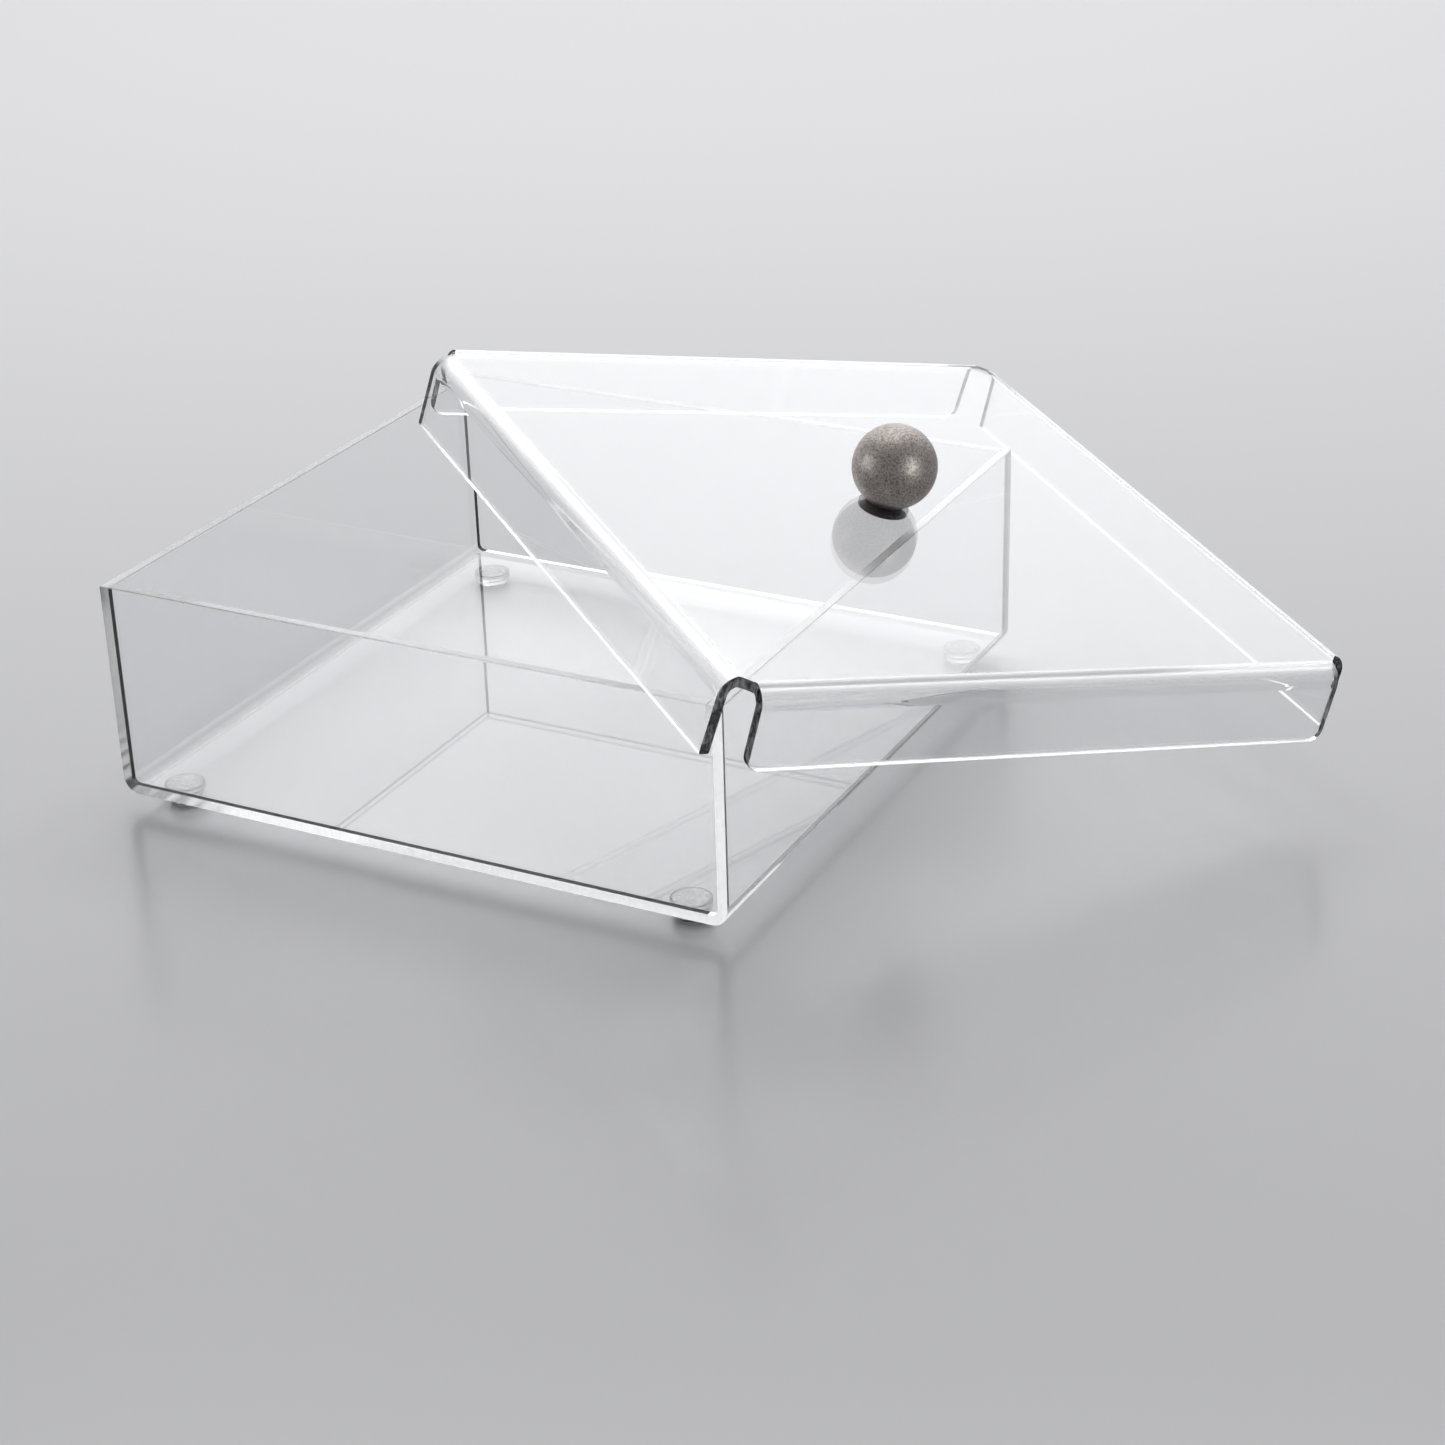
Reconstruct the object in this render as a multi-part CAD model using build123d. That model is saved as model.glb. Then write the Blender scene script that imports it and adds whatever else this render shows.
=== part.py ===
from build123d import *
import os

# Clear acrylic display box: a square tray bent and cemented from 3 mm sheet, and a loose
# flanged lid with a metal ball knob. The lid lies askew over the tray's back right corner.
# Millimetres, +Z up. Origin: the centre of the tray base's underside.

# ---- sheet and tray
SHEET = 3.0             # acrylic sheet
SIDE = 200.0            # tray, outside, both ways
WALL_TOP = 66.0         # wall height above the base's underside
TRAY_BEND = 5.0         # outer radius of the two line bends
EDGE = 0.4              # polished edges are broken by this radius
HAIRLINE = 0.02         # cement line between two sheets, and air under a pressed face

# ---- bumper feet, stuck on by hand
STANDING = 4.5          # the feet carry the base this far above the surface
FOOT_D = 12.0
FOOT_TIP_D = 9.6
FOOT_ROUND = 1.0
FILM_D = 10.6
FILM_T = 0.2
FOOT_H = STANDING - FILM_T - HAIRLINE
FEET = {
    "foot_front_left": (-85.0, -89.5),
    "foot_front_right": (84.5, -90.0),
    "foot_back_left": (-84.0, 85.0),
    "foot_back_right": (87.5, 86.5),
}

# ---- lid
LID_RIM = 208.4         # across the flanges at their free edge, outside
LID_DEPTH = 23.0        # flange depth from the plate's top face
LID_SPLAY = 2.5         # the flanges lean out by this many degrees
LID_BEND = 6.0          # outer radius of the four line bends
LID_INNER_BEND = LID_BEND - SHEET
NOTCH = 9.0             # a flange ends this far from the square corner
NOTCH_PLATE = 6.0       # the plate's corner is cut back by this much
ROUND_CORNER = 4.0      # free corners of the two flanges across the lid's y axis
CRISP_CORNER = 1.0      # and of the other two

# ---- ball knob, heights above the lid's top face; one screw holds it from below
KNOB_AT = (1.2, 0.4)    # the hole is drilled by hand, a little off the lid's centre
BALL_D = 25.0
BALL_CENTRE = 11.2
BALL_HOLE_D = 6.0
BALL_HOLE_TOP = 10.0
LID_HOLE_D = 6.4
SCREW_D = 5.9
SCREW_TOP = 9.0
HEAD_D = 15.0
HEAD_T = 1.5
HEAD_ROUND = 0.3
SOCKET_AF = 4.0         # hexagon socket, across flats
SOCKET_DEPTH = 2.2

# ---- how the loose lid rests: its flange rims hang on the front and the back wall, and the
# plate bears on the back right corner of the tray
LID_CENTRE = (91.4, 21.2, 77.56)
LID_YAW = 53.6
LID_PITCH = 9.16
LID_ROLL = 12.09


def long_edges(shape, axis, z):
    """Edges along an axis that lie at height z."""
    return shape.edges().filter_by(axis).filter_by_position(Axis.Z, z - 0.01, z + 0.01)


def tray_shell():
    """Left wall, base and right wall: one sheet with two line bends."""
    outer = Pos(0, WALL_TOP / 2) * Rectangle(SIDE, WALL_TOP)
    outer = fillet(outer.vertices().group_by(Axis.Y)[0], TRAY_BEND)
    room = Pos(0, SHEET + WALL_TOP / 2) * Rectangle(SIDE - 2 * SHEET, WALL_TOP)
    room = fillet(room.vertices().group_by(Axis.Y)[0], TRAY_BEND - SHEET)
    shell = extrude(Plane.XZ * (outer - room), amount=SIDE / 2, both=True)
    return fillet(long_edges(shell, Axis.Y, WALL_TOP), EDGE)


def cross_panel():
    """Front or back wall: a flat panel that fills the shell's bent section."""
    width = SIDE - 2 * SHEET - 2 * HAIRLINE
    height = WALL_TOP - SHEET - HAIRLINE
    face = Pos(0, WALL_TOP - height / 2) * Rectangle(width, height)
    face = fillet(face.vertices().group_by(Axis.Y)[0], TRAY_BEND - SHEET)
    panel = extrude(Plane.XZ * face, amount=SHEET / 2, both=True)
    return fillet(long_edges(panel, Axis.X, WALL_TOP), EDGE)


def foot():
    """Clear round bumper: straight at the film, tapered and rounded at the tip."""
    body = Cylinder(FOOT_D / 2, FOOT_H * 0.4, align=(Align.CENTER, Align.CENTER, Align.MAX))
    tip = Cone(FOOT_TIP_D / 2, FOOT_D / 2, FOOT_H * 0.6,
               align=(Align.CENTER, Align.CENTER, Align.MAX))
    body += Pos(0, 0, -FOOT_H * 0.4) * tip
    return fillet(body.edges().group_by(Axis.Z)[0], FOOT_ROUND)


def lid_prism(rim, height, bend):
    """Square prism standing on the rim's plane, narrower at the top, its top edges bent."""
    solid = extrude(Rectangle(rim, rim), amount=height, taper=LID_SPLAY)
    solid = fillet(solid.faces().sort_by(Axis.Z)[-1].edges(), bend)
    return Pos(0, 0, -LID_DEPTH) * solid


def lid_sheet():
    """Flat plate with four flanges bent down from one notched square of sheet."""
    wall = SHEET / cos_splay()
    lid = lid_prism(LID_RIM, LID_DEPTH, LID_BEND)
    lid -= lid_prism(LID_RIM - 2 * wall, LID_DEPTH - SHEET, LID_INNER_BEND)
    far = LID_RIM / 2 + 1
    end = LID_RIM / 2 - NOTCH
    cut = LID_RIM / 2 - NOTCH_PLATE
    notch = Polygon((end, far), (end, cut), (cut, end), (far, end), (far, far), align=None)
    notch = Pos(0, 0, -LID_DEPTH - 1) * extrude(notch, amount=LID_DEPTH + 2)
    for turn in range(4):
        lid -= Rot(0, 0, 90 * turn) * notch
    lid -= Pos(*KNOB_AT) * disc(LID_HOLE_D, -SHEET - 1, 1)
    corners = [e for e in rim_edges(lid) if e.length < SHEET * 1.1]
    round_ones = [e for e in corners if abs(e.center().Y) > abs(e.center().X)]
    lid = fillet(round_ones, ROUND_CORNER)
    lid = fillet([e for e in rim_edges(lid) if e.length < SHEET * 1.1
                  and abs(e.center().X) > abs(e.center().Y)], CRISP_CORNER)
    return fillet([e for e in rim_edges(lid) if e.length > 100], EDGE)


def rim_edges(lid):
    """Edges in the plane of the flanges' free rims."""
    return lid.edges().filter_by_position(Axis.Z, -LID_DEPTH - 0.01, -LID_DEPTH + 0.01)


def cos_splay():
    """Cosine of the flanges' lean, from a rotated unit vector."""
    return Vector(1, 0, 0).rotate(Axis.Y, LID_SPLAY).X


def knob_screw():
    """Flat thin-headed screw under the lid, its shank up through the lid into the ball."""
    top = -SHEET - HAIRLINE
    head = fillet(disc(HEAD_D, top - HEAD_T, top).edges().group_by(Axis.Z)[0], HEAD_ROUND)
    screw = head + disc(SCREW_D, top - HEAD_T / 2, SCREW_TOP)
    socket = RegularPolygon(SOCKET_AF / 2, 6, major_radius=False)
    return screw - Pos(0, 0, top - HEAD_T) * extrude(socket, amount=SOCKET_DEPTH)


def knob_ball():
    """Satin metal ball with a flat seat on the lid and a blind hole for the screw."""
    ball = Pos(0, 0, BALL_CENTRE) * Sphere(BALL_D / 2)
    below = Box(BALL_D, BALL_D, BALL_D, align=(Align.CENTER, Align.CENTER, Align.MAX))
    ball -= Pos(0, 0, HAIRLINE) * below
    return ball - disc(BALL_HOLE_D, 0, BALL_HOLE_TOP)


def disc(diameter, low, high):
    """Round disc between two heights."""
    base = (Align.CENTER, Align.CENTER, Align.MIN)
    return Pos(0, 0, low) * Cylinder(diameter / 2, high - low, align=base)


os.makedirs("parts", exist_ok=True)

# ---- tray
panel_y = SIDE / 2 - SHEET / 2
export_step(tray_shell(), "parts/tray_shell.step")
export_step(Pos(0, -panel_y, 0) * cross_panel(), "parts/front_panel.step")
export_step(Pos(0, panel_y, 0) * cross_panel(), "parts/back_panel.step")

films = []
for name, (x, y) in FEET.items():
    films.append(Pos(x, y, 0) * disc(FILM_D, -FILM_T, -HAIRLINE))
    export_step(Pos(x, y, -FILM_T - HAIRLINE) * foot(), "parts/" + name + ".step")
export_step(Compound(children=films), "parts/foot_adhesives.step")

# ---- lid, placed as it rests
rest = Pos(*LID_CENTRE) * Rot(0, 0, LID_YAW) * Rot(LID_PITCH, 0, 0) * Rot(0, LID_ROLL, 0)
export_step(rest * lid_sheet(), "parts/lid_sheet.step")
export_step(rest * Pos(*KNOB_AT) * knob_screw(), "parts/knob_screw.step")
export_step(rest * Pos(*KNOB_AT) * knob_ball(), "parts/knob_ball.step")
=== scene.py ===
import math

import bpy
from mathutils import Matrix, Vector


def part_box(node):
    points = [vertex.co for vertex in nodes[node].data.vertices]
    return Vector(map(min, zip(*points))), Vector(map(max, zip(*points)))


# Looks for the clear acrylic display box. Metres, in the CAD frame: the origin is the centre
# of the underside of the tray's base, +Z is up, and the floor is where the feet stand.

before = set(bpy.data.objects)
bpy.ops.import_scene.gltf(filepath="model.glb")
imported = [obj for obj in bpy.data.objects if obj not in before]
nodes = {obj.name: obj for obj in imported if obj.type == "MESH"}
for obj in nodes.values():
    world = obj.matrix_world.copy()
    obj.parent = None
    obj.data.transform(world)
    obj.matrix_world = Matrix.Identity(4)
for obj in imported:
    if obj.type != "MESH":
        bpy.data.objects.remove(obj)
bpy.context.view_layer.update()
floor_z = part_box("foot_front_left")[0][2]

# ---- sizes that the materials need to know, as in the CAD model
TRAY_HALF = 0.100           # centre to the outside of a wall
WALL_TOP = 0.066
LID_CENTRE = (0.0914, 0.0212, 0.07756)
LID_TURN = (Matrix.Rotation(math.radians(53.6), 3, "Z")
            @ Matrix.Rotation(math.radians(9.16), 3, "X")
            @ Matrix.Rotation(math.radians(12.09), 3, "Y")).to_euler()
LID_DEPTH = 0.023
FLANGE_END = 0.0952         # where a flange stops, from the lid's centre line
PLATE_CORNER = 0.0982       # where the notch starts to cut the plate
ROUND_CORNER = 0.004
CRISP_CORNER = 0.001
BEND_START = 0.0972         # the plate stops being flat here
BEND_HIGHLIGHT_BAND = (-0.0032, -0.0018)      # heights between which the painted highlight on a bend comes in
CEMENT_END = 0.094          # past this a panel's edge turns up from the base
ARRIS = 0.0003              # a cut face shows a little past its broken edge
ON_FACE = ARRIS / 6         # how near a cut face a point counts as on it

# ---- looks
NEAR_BLACK = (0.006, 0.006, 0.007, 1)
EDGE_ON_SHADOW = (0.25, 0.25, 0.26, 1)
SHELL_END = 0.65            # how pale the shell's U-shaped ends are, beside its rims
SEAM_SHADE_TURN = (0.35, 0.55)    # painted shade: a seam darkens as it turns edge on to the view, between these
SEAM_SHADE_FACED = 0.25           # how dark a seam is that is faced squarely, where the painted shade is least
DARK_COVER = 0.95           # how much of a dark face the near-black layer covers
PALE_ROUGHNESS = 0.3               # roughness of a pale face: a scraped cut face, or the painted highlight on a bend

# ---- camera, at the picture's viewing angle
CAMERA_AT = Vector((0.4120, -0.6991, 0.3871))
CAMERA_AZIMUTH = math.radians(27.5)
CAMERA_ELEVATION = math.radians(25.74)
CAMERA_ROLL = math.radians(-1.64)
CAMERA_LENS = 72.2          # mm, on a 36 mm sensor


def add_camera():
    """Looks along its azimuth and elevation, rolled a little."""
    level, rise = CAMERA_AZIMUTH, CAMERA_ELEVATION
    ahead = Vector((-math.sin(level) * math.cos(rise), math.cos(level) * math.cos(rise),
                    -math.sin(rise)))
    right = Vector((math.cos(level), math.sin(level), 0))
    up = right.cross(ahead)
    turn = CAMERA_ROLL
    right, up = (right * math.cos(turn) + up * math.sin(turn),
                 up * math.cos(turn) - right * math.sin(turn))
    data = bpy.data.cameras.new("camera")
    data.lens = CAMERA_LENS
    data.sensor_width = 36
    data.clip_start = 0.01
    data.clip_end = 100
    camera = bpy.data.objects.new("camera", data)
    columns = Matrix((right, up, -ahead)).transposed()
    camera.matrix_world = Matrix.Translation(CAMERA_AT) @ columns.to_4x4()
    bpy.context.scene.collection.objects.link(camera)
    bpy.context.scene.camera = camera


# ---- node helpers
def new_material(name):
    """An empty node material and its output."""
    material = bpy.data.materials.new(name)
    material.use_nodes = True
    tree = material.node_tree
    tree.nodes.clear()
    return material, tree, tree.nodes.new("ShaderNodeOutputMaterial")


def add(tree, kind, **values):
    """A node with its inputs set by name (spaces as underscores), or its own properties."""
    node = tree.nodes.new(kind)
    for key, value in values.items():
        label = key.replace("_", " ")
        if label in node.inputs:
            node.inputs[label].default_value = value
        else:
            setattr(node, key, value)
    return node


def feed(tree, entry, value):
    """Sets an input to a number or colour, or links a socket to it."""
    if isinstance(value, bpy.types.NodeSocket):
        tree.links.new(value, entry)
    else:
        entry.default_value = value


def calc(tree, operation, *values):
    """A Math node on sockets and numbers."""
    node = add(tree, "ShaderNodeMath", operation=operation)
    for entry, value in zip(node.inputs, values):
        feed(tree, entry, value)
    return node.outputs[0]


def blend_colours(tree, factor, low, high):
    """Mixes two colours, each a socket or a plain colour."""
    node = add(tree, "ShaderNodeMix", data_type="RGBA")
    for entry, value in ((node.inputs[0], factor), (node.inputs[6], low),
                         (node.inputs[7], high)):
        feed(tree, entry, value)
    return node.outputs[2]


def noise(tree, scale, detail=2.0, roughness=0.5, stretch=(1, 1, 1)):
    """Noise in the object's own coordinates, in metres, so that it rides with the piece."""
    place = tree.nodes.new("ShaderNodeTexCoord")
    mapping = add(tree, "ShaderNodeMapping", Scale=stretch)
    texture = add(tree, "ShaderNodeTexNoise", Scale=scale, Detail=detail,
                  Roughness=roughness)
    tree.links.new(place.outputs["Object"], mapping.inputs["Vector"])
    tree.links.new(mapping.outputs["Vector"], texture.inputs["Vector"])
    return texture.outputs["Fac"]


def remap(tree, source, low, high, to_low, to_high):
    """Maps a range of one value onto another range, clamped."""
    node = tree.nodes.new("ShaderNodeMapRange")
    for label, value in (("Value", source), ("From Min", low), ("From Max", high),
                         ("To Min", to_low), ("To Max", to_high)):
        feed(tree, node.inputs[label], value)
    return node.outputs["Result"]


def bump(tree, height, distance, strength=1.0):
    """A bump from a height in metres."""
    node = add(tree, "ShaderNodeBump", Strength=strength, Distance=distance)
    tree.links.new(height, node.inputs["Height"])
    return node.outputs["Normal"]


def coordinates(tree, label="Object", origin=(0, 0, 0), turn=(0, 0, 0)):
    """X, Y and Z of the object's own coordinates, read in a turned frame."""
    place = tree.nodes.new("ShaderNodeTexCoord")
    inverse = add(tree, "ShaderNodeMapping", vector_type="TEXTURE", Location=origin,
                  Rotation=turn)
    split = tree.nodes.new("ShaderNodeSeparateXYZ")
    tree.links.new(place.outputs[label], inverse.inputs["Vector"])
    tree.links.new(inverse.outputs["Vector"], split.inputs[0])
    return split.outputs["X"], split.outputs["Y"], split.outputs["Z"]


# ---- pale and dark faces: each gives two masks, of pale faces and of dark ones. Most are cut faces; the pale lid bends are a painted highlight, and the dark panel seams are partly painted shade
def tray_cuts(tree):
    """The shell's top rims are pale and scraped, and its U-shaped ends a little less so."""
    y, z = coordinates(tree)[1:]
    rim = calc(tree, "GREATER_THAN", z, WALL_TOP - ARRIS)
    end = calc(tree, "GREATER_THAN", calc(tree, "ABSOLUTE", y), TRAY_HALF - ON_FACE)
    return calc(tree, "MAXIMUM", rim, calc(tree, "MULTIPLY", end, SHELL_END)), None


def panel_cuts(tree):
    """A panel's top rim is pale. Its cement line is a dark joint down the left end and, in
    front, along the base; its darkening as it turns edge on to the view, and only on these
    sides, is painted shade. The right end is a clear joint."""
    x, y, z = coordinates(tree)
    rim = calc(tree, "GREATER_THAN", z, WALL_TOP - ARRIS)
    across = coordinates(tree, "Normal")[1]
    edge = calc(tree, "LESS_THAN", calc(tree, "ABSOLUTE", across), 0.5)
    edge = calc(tree, "MINIMUM", edge, calc(tree, "SUBTRACT", 1, rim))
    left = calc(tree, "LESS_THAN", x, -CEMENT_END)
    front = calc(tree, "MULTIPLY", calc(tree, "LESS_THAN", x, CEMENT_END),
                 calc(tree, "LESS_THAN", y, 0))
    # painted shade: the seam is darkened by its angle to the view, read from Layer Weight
    facing = add(tree, "ShaderNodeLayerWeight", Blend=0.5).outputs["Facing"]
    painted_seam_shade = calc(tree, "MULTIPLY", calc(tree, "MAXIMUM", left, front),
                remap(tree, facing, *SEAM_SHADE_TURN, SEAM_SHADE_FACED, 1))
    return rim, calc(tree, "MULTIPLY", edge, painted_seam_shade)


def lid_cuts(tree):
    """The flanges' free rims are pale, and a painted highlight makes the line bends pale
    too.
    The flanges' ends and the plate's clipped corners are dark, with a pale arris."""
    x, y, z = coordinates(tree, "Object", LID_CENTRE, LID_TURN)
    x, y = calc(tree, "ABSOLUTE", x), calc(tree, "ABSOLUTE", y)
    along, out = calc(tree, "MINIMUM", x, y), calc(tree, "MAXIMUM", x, y)
    radius = calc(tree, "MULTIPLY_ADD", calc(tree, "GREATER_THAN", y, x),
                  ROUND_CORNER - CRISP_CORNER, CRISP_CORNER)
    past = calc(tree, "ADD", calc(tree, "SUBTRACT", along, FLANGE_END), radius)
    below = calc(tree, "SUBTRACT", calc(tree, "SUBTRACT", radius, z), LID_DEPTH)
    past, below = calc(tree, "MAXIMUM", past, 0), calc(tree, "MAXIMUM", below, 0)
    reach = calc(tree, "SQRT", calc(tree, "ADD", calc(tree, "MULTIPLY", past, past),
                                    calc(tree, "MULTIPLY", below, below)))
    reach = calc(tree, "SUBTRACT", reach, radius)
    flange = calc(tree, "GREATER_THAN", out, PLATE_CORNER - ARRIS)
    cut = calc(tree, "MULTIPLY", calc(tree, "GREATER_THAN", reach, -ARRIS), flange)
    face = calc(tree, "MULTIPLY", calc(tree, "GREATER_THAN", reach, -ON_FACE), flange)
    end = calc(tree, "MULTIPLY", face, calc(tree, "GREATER_THAN", past, below))
    corner = calc(tree, "GREATER_THAN", calc(tree, "ADD", x, y),
                  FLANGE_END + PLATE_CORNER - ARRIS / 4)
    corner = calc(tree, "MULTIPLY", corner,
                  calc(tree, "GREATER_THAN", along, FLANGE_END - ARRIS))
    dark = calc(tree, "MAXIMUM", end, corner)
    # painted highlight: the bend's skin is made pale and rough where the bend shines
    bend_highlight = calc(tree, "MULTIPLY", remap(tree, out, BEND_START, BEND_START + ARRIS * 3, 0, 1),
                remap(tree, z, *BEND_HIGHLIGHT_BAND, 0, 1))
    pale = calc(tree, "MAXIMUM", cut, bend_highlight)
    return calc(tree, "MULTIPLY", pale, calc(tree, "SUBTRACT", 1, dark)), dark


# ---- materials
def clear_material(name, tint, ior, rough_low, rough_high, through, cuts=None,
                   pale_solid=(0.2, 0.35), dark_lightest=0.42):
    """Clear plastic that lets lamps through: faint smears in its gloss, a softer, darker
    shadow where light meets it edge on, and pale and dark faces from the cuts masks: scraped
    pale cut faces, a painted highlight where a mask paints one, and a near-black diffuse
    layer on dark faces, which on the panels' seams is painted shade. pale_solid is how solid
    the pale faces are, and dark_lightest is the lightest grey of the dark ones."""
    material, tree, output = new_material(name)
    body = add(tree, "ShaderNodeBsdfPrincipled", Base_Color=tint, IOR=ior,
               Transmission_Weight=1.0)
    surface = body.outputs[0]
    smear = noise(tree, 34, 4, 0.6, (1, 1, 2.2))
    roughness = remap(tree, smear, 0.56, 0.78, rough_low, rough_high)
    if cuts:
        pale, dark = cuts(tree)
        streaks = noise(tree, 900, 3, 0.6, (1, 1, 0.35))
        # pale faces take a milky diffuse share; on the lid's bends that share is a painted
        # highlight
        solid = calc(tree, "MULTIPLY", pale, remap(tree, streaks, 0.3, 0.7, *pale_solid))
        rough = calc(tree, "MULTIPLY", pale, PALE_ROUGHNESS)
        if dark:
            # near-black diffuse over the dark faces; on the panels' seams it is painted
            # shade
            dark_layer = add(tree, "ShaderNodeBsdfDiffuse")
            broad = noise(tree, 160, 3, 0.6)
            shade = calc(tree, "MULTIPLY", remap(tree, streaks, 0.42, 0.62, 0.15, 1),
                         remap(tree, broad, 0.42, 0.6, 0, 1))
            feed(tree, dark_layer.inputs["Color"], blend_colours(
                tree, shade, NEAR_BLACK, (dark_lightest, dark_lightest, dark_lightest * 1.06, 1)))
            faces = tree.nodes.new("ShaderNodeMixShader")
            feed(tree, faces.inputs[0], calc(tree, "MULTIPLY", dark, DARK_COVER))
            tree.links.new(body.outputs[0], faces.inputs[1])
            tree.links.new(dark_layer.outputs[0], faces.inputs[2])
            surface = faces.outputs[0]
        roughness = calc(tree, "MAXIMUM", roughness, rough)
        tree.links.new(calc(tree, "SUBTRACT", 1, solid), body.inputs["Transmission Weight"])
    tree.links.new(roughness, body.inputs["Roughness"])
    facing = add(tree, "ShaderNodeLayerWeight", Blend=0.35)
    shade = blend_colours(tree, facing.outputs["Facing"], (through, through, through, 1),
                          EDGE_ON_SHADOW)
    clear = tree.nodes.new("ShaderNodeBsdfTransparent")
    tree.links.new(shade, clear.inputs["Color"])
    path = tree.nodes.new("ShaderNodeLightPath")
    mix = tree.nodes.new("ShaderNodeMixShader")
    tree.links.new(path.outputs["Is Shadow Ray"], mix.inputs[0])
    tree.links.new(surface, mix.inputs[1])
    tree.links.new(clear.outputs[0], mix.inputs[2])
    tree.links.new(mix.outputs[0], output.inputs["Surface"])
    return material


def ball_metal():
    """Satin nickel: a blasted surface with fine dark specks."""
    material, tree, output = new_material("satin_nickel")
    body = add(tree, "ShaderNodeBsdfPrincipled", Metallic=1.0)
    grain = noise(tree, 1700, 3, 0.7)
    patch = noise(tree, 90, 3, 0.55)
    base = blend_colours(tree, remap(tree, patch, 0.3, 0.7, 0, 1),
                         (0.38, 0.345, 0.32, 1), (0.54, 0.495, 0.465, 1))
    specks = remap(tree, grain, 0.40, 0.56, 0, 1)
    tree.links.new(blend_colours(tree, specks, (0.22, 0.195, 0.18, 1), base),
                   body.inputs["Base Color"])
    tree.links.new(remap(tree, grain, 0.3, 0.7, 0.50, 0.38), body.inputs["Roughness"])
    tree.links.new(bump(tree, grain, 0.00006, 0.7), body.inputs["Normal"])
    tree.links.new(body.outputs[0], output.inputs["Surface"])
    return material


def screw_metal():
    """Blackened steel with fine turning lines on its head."""
    material, tree, output = new_material("screw_metal")
    body = add(tree, "ShaderNodeBsdfPrincipled", Metallic=1.0)
    fine = noise(tree, 900, 3, 0.6)
    tree.links.new(blend_colours(tree, fine, NEAR_BLACK, (0.045, 0.047, 0.047, 1)),
                   body.inputs["Base Color"])
    tree.links.new(remap(tree, fine, 0.3, 0.7, 0.12, 0.22), body.inputs["Roughness"])
    tree.links.new(body.outputs[0], output.inputs["Surface"])
    return material


def film():
    """Thin clear adhesive: slightly milky, with small trapped bubbles."""
    material, tree, output = new_material("adhesive_film")
    body = add(tree, "ShaderNodeBsdfPrincipled", Base_Color=(0.62, 0.63, 0.63, 1),
               IOR=1.45, Roughness=0.25)
    bubbles = noise(tree, 900, 3, 0.6)
    tree.links.new(remap(tree, bubbles, 0.45, 0.62, 0.88, 0.45),
                   body.inputs["Transmission Weight"])
    tree.links.new(body.outputs[0], output.inputs["Surface"])
    return material


def paint(material, *names):
    """Puts one material on CAD nodes."""
    for name in names:
        piece = nodes[name]
        if not piece.material_slots:
            piece.data.materials.append(material)
        for entry in piece.material_slots:
            entry.material = material


# ---- studio
BACKDROP = (-0.37, 0.73, 0.57)      # the brightest direction, behind and above the box
ROOM_LIGHT = ((0.08, 0.18), (0.5, 0.19), (0.8, 0.38), (1.0, 1.0))
ROOM_STRENGTH = 1.8
BOX_MIDDLE = (0.08, 0.02, 0.09)
FLOOR_HALF = 40.0                   # far enough that no view shows where it stops


def add_floor():
    """Plain pale floor, large enough to fill every view."""
    mesh = bpy.data.meshes.new("floor")
    points = [(across * FLOOR_HALF, along * FLOOR_HALF, floor_z)
              for across, along in ((-1, -1), (1, -1), (1, 1), (-1, 1))]
    mesh.from_pydata(points, [], [(0, 1, 2, 3)])
    floor = bpy.data.objects.new("floor", mesh)
    bpy.context.scene.collection.objects.link(floor)
    material, tree, output = new_material("floor")
    body = add(tree, "ShaderNodeBsdfPrincipled", Base_Color=(0.31, 0.31, 0.32, 1),
               Roughness=0.22)
    tree.links.new(body.outputs[0], output.inputs["Surface"])
    mesh.materials.append(material)
    return floor


def add_light(name, at, towards, size, power, only_on, seen=True):
    """A rectangular soft light that falls on the given objects only. Where it isn't seen, it
    doesn't show to the camera or through the clear sheet."""
    data = bpy.data.lights.new(name, "AREA")
    data.shape = "RECTANGLE"
    data.size, data.size_y = size
    data.energy = power
    light = bpy.data.objects.new(name, data)
    light.location = at
    light.rotation_euler = (Vector(towards) - Vector(at)).to_track_quat("-Z", "Y").to_euler()
    bpy.context.scene.collection.objects.link(light)
    lit = bpy.data.collections.new(name + "_lit")
    for piece in only_on:
        lit.objects.link(piece)
    light.light_linking.receiver_collection = lit
    light.visible_camera = light.visible_transmission = seen


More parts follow.
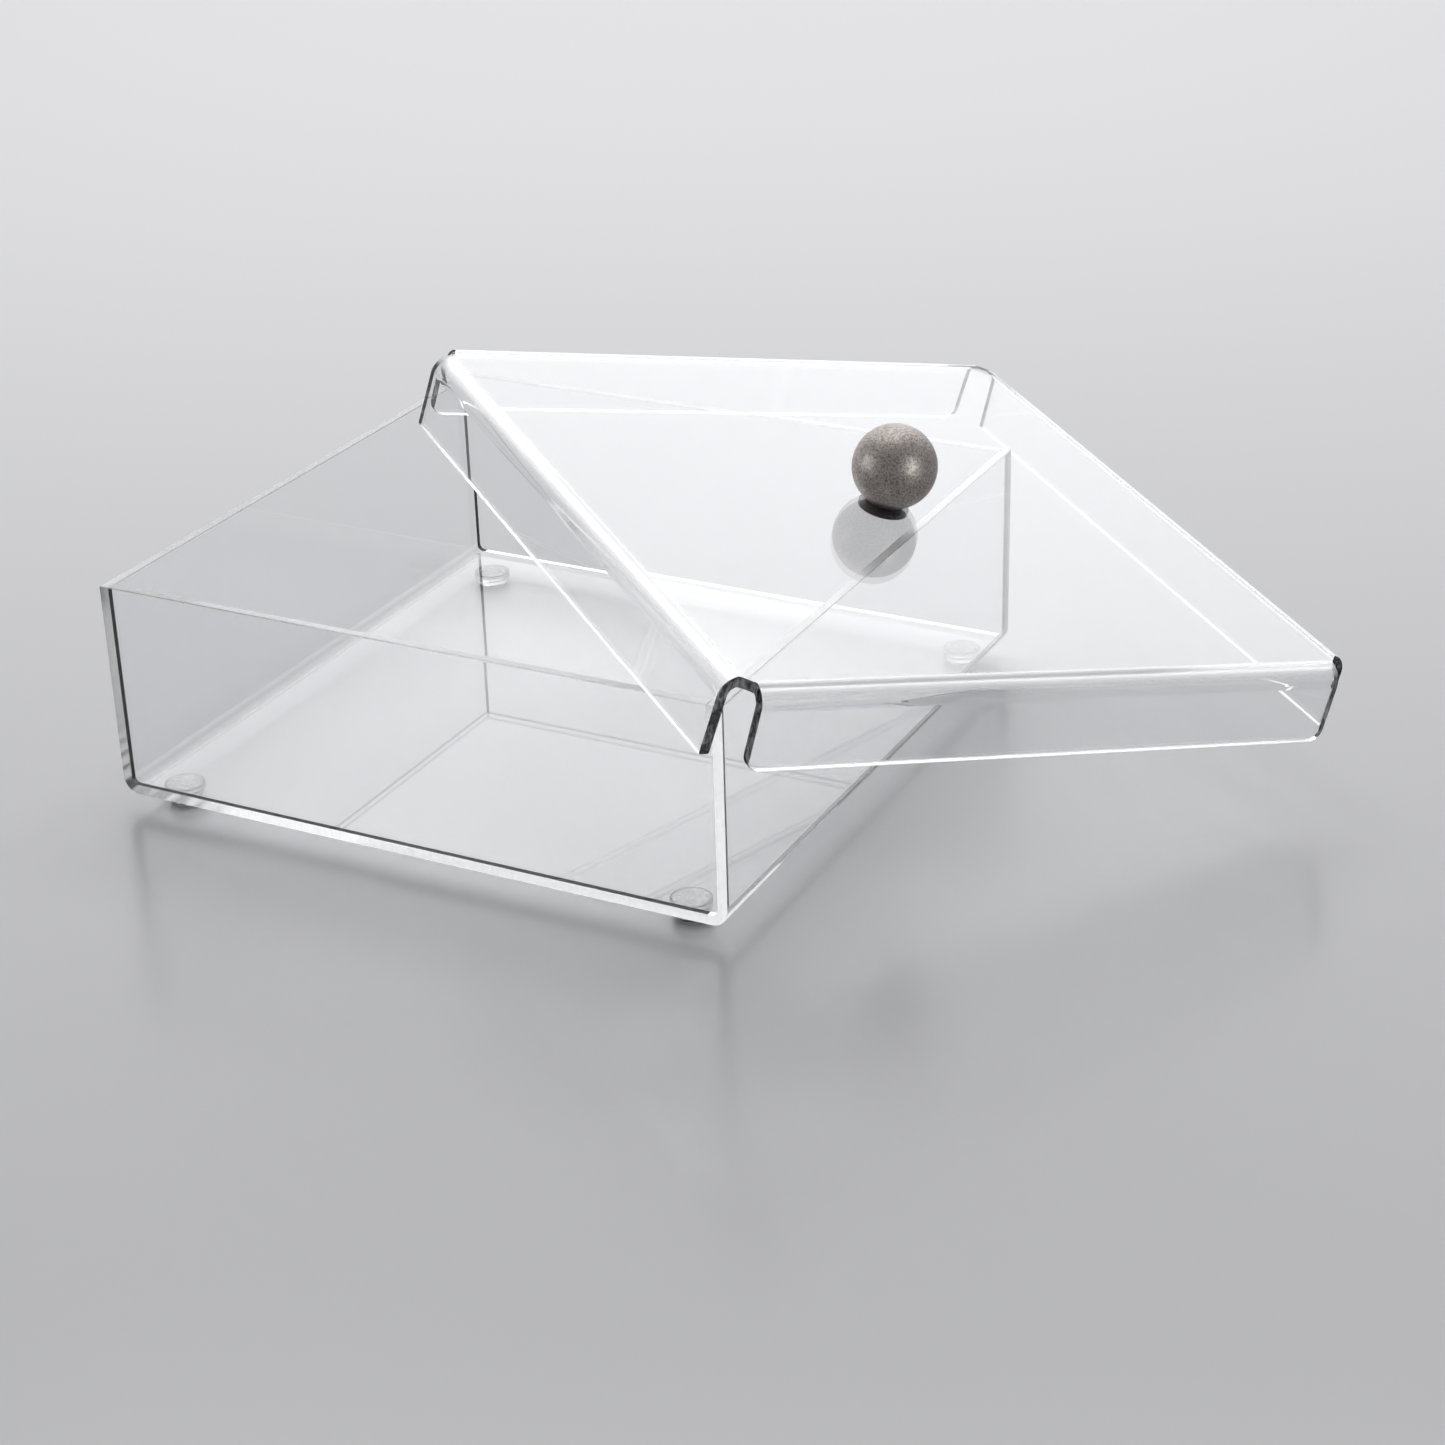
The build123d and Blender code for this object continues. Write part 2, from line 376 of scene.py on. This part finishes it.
def add_world():
    """Soft room: a bright backdrop behind the box that fades overhead, and a dim front."""
    world = bpy.data.worlds.new("room")
    bpy.context.scene.world = world
    world.use_nodes = True
    tree = world.node_tree
    tree.nodes.clear()
    place = tree.nodes.new("ShaderNodeTexCoord")
    toward = add(tree, "ShaderNodeVectorMath", operation="DOT_PRODUCT")
    tree.links.new(place.outputs["Generated"], toward.inputs[0])
    toward.inputs[1].default_value = BACKDROP
    ramp = tree.nodes.new("ShaderNodeValToRGB")
    ramp.color_ramp.interpolation = "EASE"
    for position, level in ROOM_LIGHT[1:-1]:
        ramp.color_ramp.elements.new(position)
    for entry, (position, level) in zip(ramp.color_ramp.elements, ROOM_LIGHT):
        entry.position = position
        entry.color = (level, level, level * 1.02, 1)
    tree.links.new(calc(tree, "MULTIPLY_ADD", toward.outputs["Value"], 0.5, 0.5),
                   ramp.inputs["Fac"])
    back = tree.nodes.new("ShaderNodeBackground")
    back.inputs["Strength"].default_value = ROOM_STRENGTH
    output = tree.nodes.new("ShaderNodeOutputWorld")
    tree.links.new(ramp.outputs["Color"], back.inputs["Color"])
    tree.links.new(back.outputs[0], output.inputs["Surface"])


add_camera()
everything = [add_floor(), *nodes.values()]
add_world()
knob = [nodes["knob_ball"], nodes["knob_screw"]]
all_but_knob = [piece for piece in everything if piece not in knob]
add_light("overhead", (-0.1, 0.35, 1.35), (0.0, 0.0, 0.05), (0.8, 0.6), 2, everything)
add_light("back_top", (-0.25, 0.75, 1.4), (0.05, 0.0, 0.08), (1.5, 0.35), 15,
          all_but_knob)
add_light("left_softbox", (-1.3, -0.9, 0.35), BOX_MIDDLE, (0.5, 0.7), 5, knob, False)
add_light("right_softbox", (1.45, -0.35, 0.35), BOX_MIDDLE, (0.5, 0.7), 5, knob, False)
bpy.context.scene.view_settings.view_transform = "Standard"
DEEPEST = 32                # bounces: clear sheet pipes light through many reflections
paths = bpy.context.scene.cycles
paths.max_bounces = paths.glossy_bounces = paths.transmission_bounces = DEEPEST

# tint, IOR, roughness between and in the smears, and how much light a shadow lets through
ACRYLIC = ((0.985, 0.99, 0.99, 1), 1.49, 0.0, 0.03, 0.93)
BUMPER = ((0.5, 0.51, 0.51, 1), 1.42, 0.03, 0.1, 0.8)
paint(clear_material("shell_acrylic", *ACRYLIC, tray_cuts), "tray_shell")
paint(clear_material("panel_acrylic", *ACRYLIC, panel_cuts, dark_lightest=0.02), "front_panel",
      "back_panel")
paint(clear_material("lid_acrylic", *ACRYLIC, lid_cuts, (0.35, 0.5)), "lid_sheet")
paint(clear_material("clear_bumper", *BUMPER), "foot_front_left", "foot_front_right",
      "foot_back_left", "foot_back_right")
paint(film(), "foot_adhesives")
paint(ball_metal(), "knob_ball")
paint(screw_metal(), "knob_screw")
